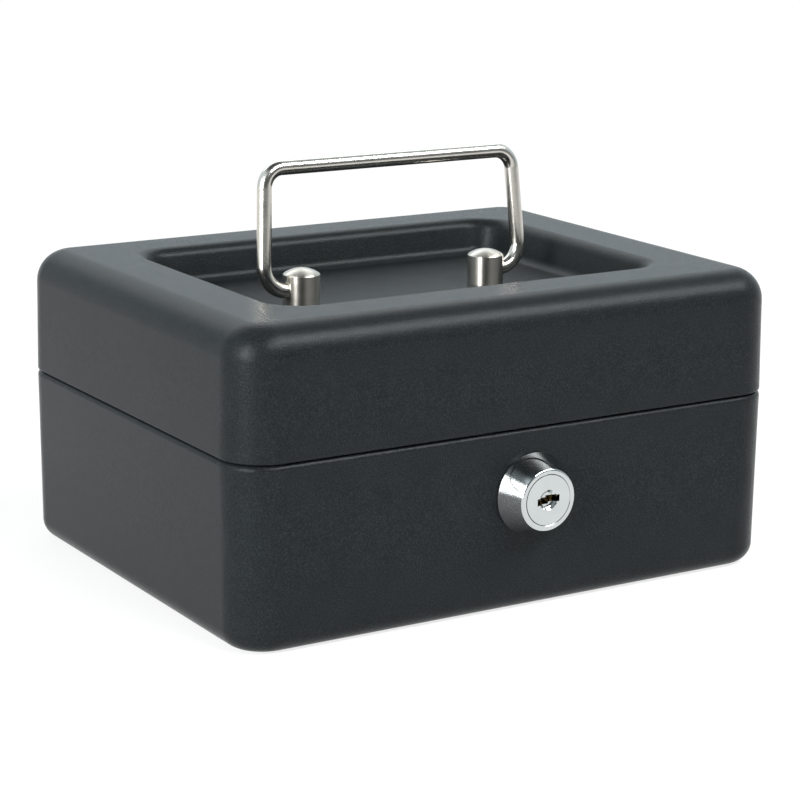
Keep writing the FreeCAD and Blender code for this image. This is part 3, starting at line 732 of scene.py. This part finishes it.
def studio_floor():
    work = bmesh.new()
    bmesh.ops.create_grid(work, x_segments=1, y_segments=1, size=FLOOR_SIZE / 2)
    mesh = bpy.data.meshes.new("studio_floor")
    work.to_mesh(mesh)
    work.free()
    floor = bpy.data.objects.new("studio_floor", mesh)
    bpy.context.collection.objects.link(floor)
    finish = new_finish("white_card")
    camera, mirror = finish.rays()
    card = finish.make("ShaderNodeBsdfDiffuse", None, {"Color": CARD_WHITE})
    glow = finish.make("ShaderNodeEmission", None, {"Color": PLAIN_WHITE, "Strength": CARD_GLOW})
    reach = finish.place((1.0 / SHADOW_REACH, 1.0 / SHADOW_REACH, 1.0))
    sphere = {"gradient_type": "SPHERICAL"}
    near = finish.make("ShaderNodeTexGradient", sphere, {"Vector": reach}, "Fac")
    share = (camera + mirror) * (1.0 - SHADOW_SHARE * near)
    both = finish.make("ShaderNodeMixShader", None, {0: share, 1: card, 2: glow})
    finish.make("ShaderNodeOutputMaterial", None, {"Surface": both})
    mesh.materials.append(finish.owner)


def soft_lamp(name, azimuth, elevation, distance, size, power):
    """A soft box placed round the object, with azimuth 0 in front of it and 90 at its right."""
    turn, rise = math.radians(azimuth), math.radians(elevation)
    way = Vector((math.sin(turn) * math.cos(rise), -math.cos(turn) * math.cos(rise), math.sin(rise)))
    lamp = bpy.data.lights.new(name, "AREA")
    lamp.shape = "RECTANGLE"
    lamp.size, lamp.size_y = size
    lamp.energy = power
    holder = bpy.data.objects.new(name, lamp)
    holder.location = LAMP_AIM + way * distance
    holder.rotation_euler = (-way).to_track_quat("-Z", "Y").to_euler()
    bpy.context.collection.objects.link(holder)


studio_floor()
soft_lamp("left_box", -67.0, 19.0, 1.2, (0.32, 0.80), 21.0)
soft_lamp("left_window", -89.0, 17.0, 1.2, (0.40, 0.70), 3.0)
soft_lamp("front_box", 32.0, 49.0, 1.2, (1.10, 0.36), 23.0)
soft_lamp("back_window", 165.0, 40.0, 1.3, (1.4, 0.5), 3.6)

# %% [markdown]
# The camera. Azimuth, elevation and distance were found by matching the corners of the box with the
# photograph. A long lens keeps the upright edges nearly parallel, as they are there.

# %% Camera
AZIMUTH = math.radians(-31.638)
ELEVATION = math.radians(13.947)
ROLL = math.radians(-0.547)
DISTANCE = 641.865 * MM
AIM = Vector((0.0, 0.0, 40.0 * MM))
AIM_OFFSET = Vector((-1.461 * MM, 0.961 * MM, 0.0))
LENS = 112.875
SENSOR_WIDTH = 36.0


def photo_camera():
    back = Vector((math.sin(AZIMUTH) * math.cos(ELEVATION), -math.cos(AZIMUTH) * math.cos(ELEVATION),
                   math.sin(ELEVATION)))
    right = Vector((math.cos(AZIMUTH), math.sin(AZIMUTH), 0.0))
    level = Matrix((right, back.cross(right), back))
    turn = Matrix.Rotation(ROLL, 3, "Z") @ level
    place = AIM - turn.transposed() @ (AIM_OFFSET - Vector((0.0, 0.0, DISTANCE)))
    camera = bpy.data.objects.new("photo_camera", bpy.data.cameras.new("photo_camera"))
    camera.data.lens = LENS
    camera.data.sensor_width = SENSOR_WIDTH
    camera.data.clip_start = 0.01
    camera.matrix_world = Matrix.Translation(place) @ turn.transposed().to_4x4()
    bpy.context.collection.objects.link(camera)
    bpy.context.scene.camera = camera
    return place


print("camera at", tuple(round(value, 4) for value in photo_camera()))
bpy.context.scene.view_settings.view_transform = "Standard"
